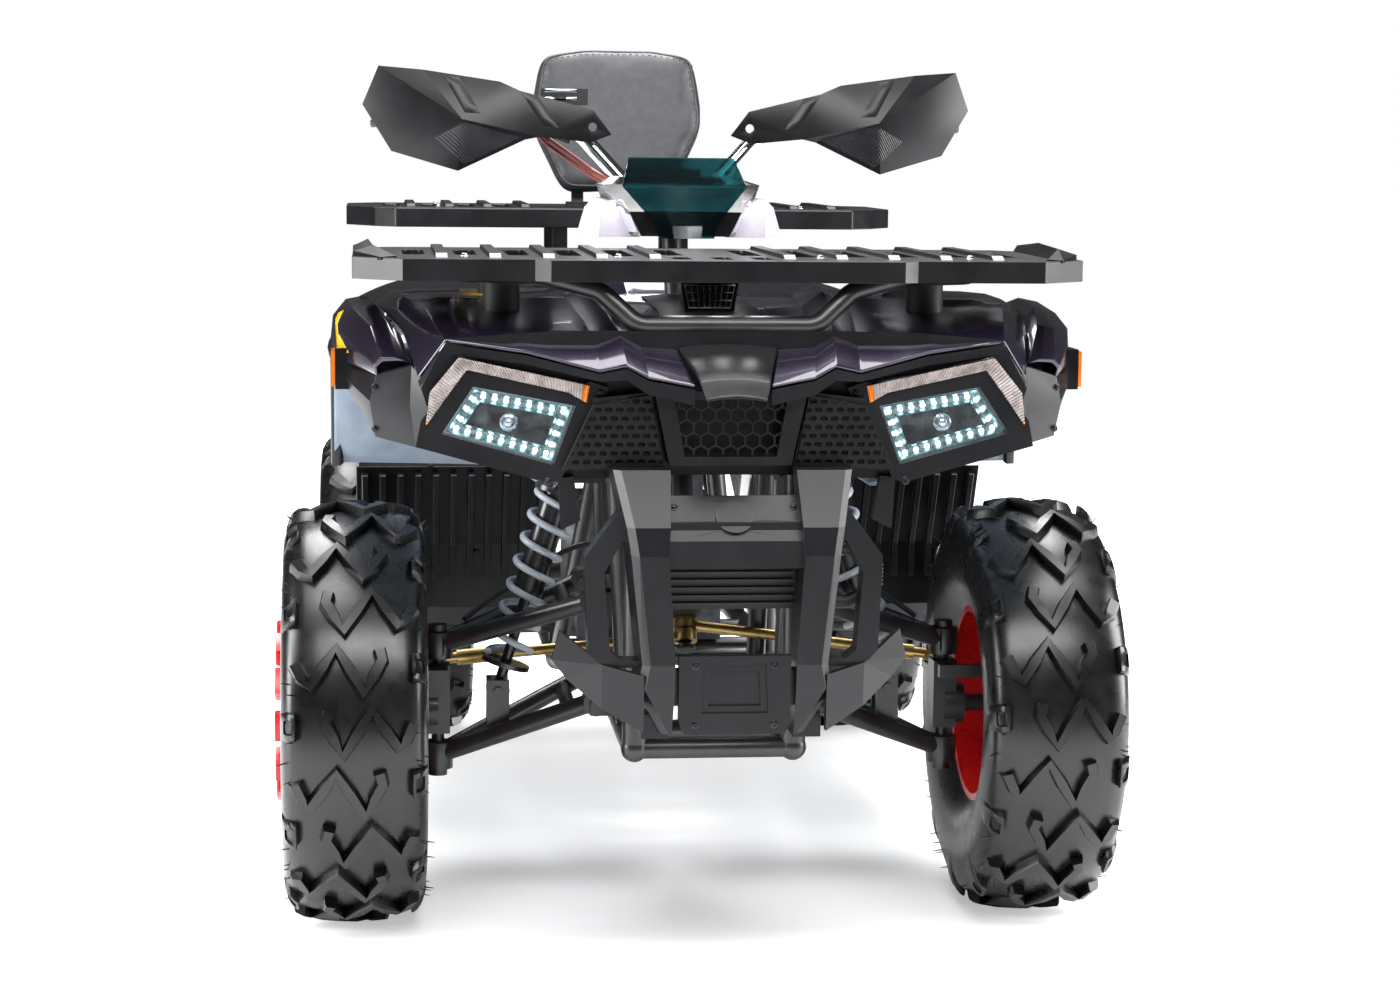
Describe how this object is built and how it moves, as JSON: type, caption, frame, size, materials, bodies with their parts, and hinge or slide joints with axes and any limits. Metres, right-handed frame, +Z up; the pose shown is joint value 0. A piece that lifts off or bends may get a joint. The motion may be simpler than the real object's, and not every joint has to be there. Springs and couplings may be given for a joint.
{
  "type": "quad bike",
  "caption": "Utility quad bike with knobbly tyres, bull bar, front and rear racks, hand guards, small screen and a padded backrest.",
  "frame": {"origin": "centre of the box that holds the quad bike, on the ground under the tyres", "axes": "+X to the rider's left, +Y to the rear, +Z up"},
  "size_m": [1.056, 1.904, 1.1501],
  "materials": {
    "tyre_rubber": "matt",
    "red_rim": "gloss",
    "hub_steel": "satin",
    "zinc_gold": "satin",
    "cast_black": "satin",
    "frame_black": "satin",
    "engine_alloy": "cast",
    "chain_steel": "oiled",
    "silencer_black": "matt",
    "plum_gloss": "gloss metallic",
    "lilac_gloss": "gloss metallic",
    "textured_black": "grained",
    "slate_plastic": "matt",
    "gloss_black": "gloss",
    "lamp_reflector": "bright",
    "clear_lens": "clear",
    "amber_lens": "translucent",
    "red_lens": "translucent",
    "led_white": "lit",
    "spring_grey": "gloss",
    "damper_black": "satin",
    "seat_vinyl": "grained",
    "grip_rubber": "matt",
    "bar_chrome": "bright",
    "smoke_screen": "smoked",
    "hose_rubber": "matt",
    "cable_brown": "satin",
    "cooler_alloy": "satin"
  },
  "bodies": {
    "chassis": {"frame": "frame_black", "engine_block": "engine_alloy", "chain": "chain_steel", "swing_arm": "frame_black", "tow_hitch": "frame_black", "exhaust": "silencer_black", "front_bumper": "textured_black", "hood_panels": "plum_gloss", "hood_centre": "textured_black", "fender_flares": "textured_black", "arch_liners": "slate_plastic", "footwells": "textured_black", "grille": "textured_black", "headlamp_reflectors": "lamp_reflector", "headlamp_lenses": "clear_lens", "front_rack": "textured_black", "rear_rack": "textured_black", "seat": "seat_vinyl", "tank_cover": "plum_gloss", "rear_fenders": "plum_gloss", "tail_panel": "textured_black", "backrest_pad": "seat_vinyl", "dampers": "damper_black", "springs": "spring_grey", "oil_cooler": "cooler_alloy", "fascia": "textured_black", "side_markers": "amber_lens", "marker_housings": "gloss_black", "dash_cowl": "lilac_gloss", "tail_lamps": "red_lens", "rack_feet": "grip_rubber", "headlamp_leds": "led_white", "hoses": "hose_rubber", "rack_stays": "frame_black", "front_arms": "frame_black"},
    "steering": {"steering_stem": "cast_black", "handlebar": "bar_chrome", "grips": "grip_rubber", "brake_controls": "cast_black", "hand_guards": "textured_black", "instrument_pod": "gloss_black", "pod_panels": "lilac_gloss", "windscreen": "smoke_screen", "control_cables": "cable_brown"},
    "knuckle_left": {"knuckle_left": "cast_black"},
    "knuckle_right": {"knuckle_right": "cast_black"},
    "tie_rod_left": {"tie_rod_left": "zinc_gold"},
    "tie_rod_right": {"tie_rod_right": "zinc_gold"},
    "front_wheel_left": {"front_tyre_left": "tyre_rubber", "front_rim_left": "red_rim", "front_hub_left": "hub_steel"},
    "front_wheel_right": {"front_tyre_right": "tyre_rubber", "front_rim_right": "red_rim", "front_hub_right": "hub_steel"},
    "rear_wheels": {"rear_tyres": "tyre_rubber", "rear_rims": "red_rim", "rear_axle": "hub_steel"}
  },
  "joints": [
    {"name": "steer", "type": "hinge", "parent": "chassis", "child": "steering", "pos_m": [0, -0.157, 0.905], "axis": [0, 0.4895, 0.872], "range_deg": [-36, 36]},
    {"name": "rear_axle_spin", "type": "hinge", "parent": "chassis", "child": "rear_wheels", "pos_m": [0, 0.7, 0.254], "axis": [1, 0, 0], "continuous": true},
    {"name": "knuckle_steer_left", "type": "hinge", "parent": "chassis", "child": "knuckle_left", "pos_m": [0.326, -0.5, 0.267], "axis": [0, 0, 1], "range_deg": [-32, 32]},
    {"name": "tie_rod_swing_left", "type": "hinge", "parent": "knuckle_left", "child": "tie_rod_left", "pos_m": [0.326, -0.434, 0.319], "axis": [0, 0, 1], "range_deg": [-32, 32]},
    {"name": "front_wheel_spin_left", "type": "hinge", "parent": "knuckle_left", "child": "front_wheel_left", "pos_m": [0.43, -0.5, 0.267], "axis": [1, 0, 0], "continuous": true},
    {"name": "knuckle_steer_right", "type": "hinge", "parent": "chassis", "child": "knuckle_right", "pos_m": [-0.326, -0.5, 0.267], "axis": [0, 0, 1], "range_deg": [-32, 32]},
    {"name": "tie_rod_swing_right", "type": "hinge", "parent": "knuckle_right", "child": "tie_rod_right", "pos_m": [-0.326, -0.434, 0.319], "axis": [0, 0, 1], "range_deg": [-32, 32]},
    {"name": "front_wheel_spin_right", "type": "hinge", "parent": "knuckle_right", "child": "front_wheel_right", "pos_m": [-0.43, -0.5, 0.267], "axis": [1, 0, 0], "continuous": true}
  ],
  "couplings": [
    {"joint": "knuckle_steer_left", "follows": "steer", "ratio": 0.88},
    {"joint": "tie_rod_swing_left", "follows": "steer", "ratio": -0.88},
    {"joint": "knuckle_steer_right", "follows": "steer", "ratio": 0.88},
    {"joint": "tie_rod_swing_right", "follows": "steer", "ratio": -0.88}
  ]
}
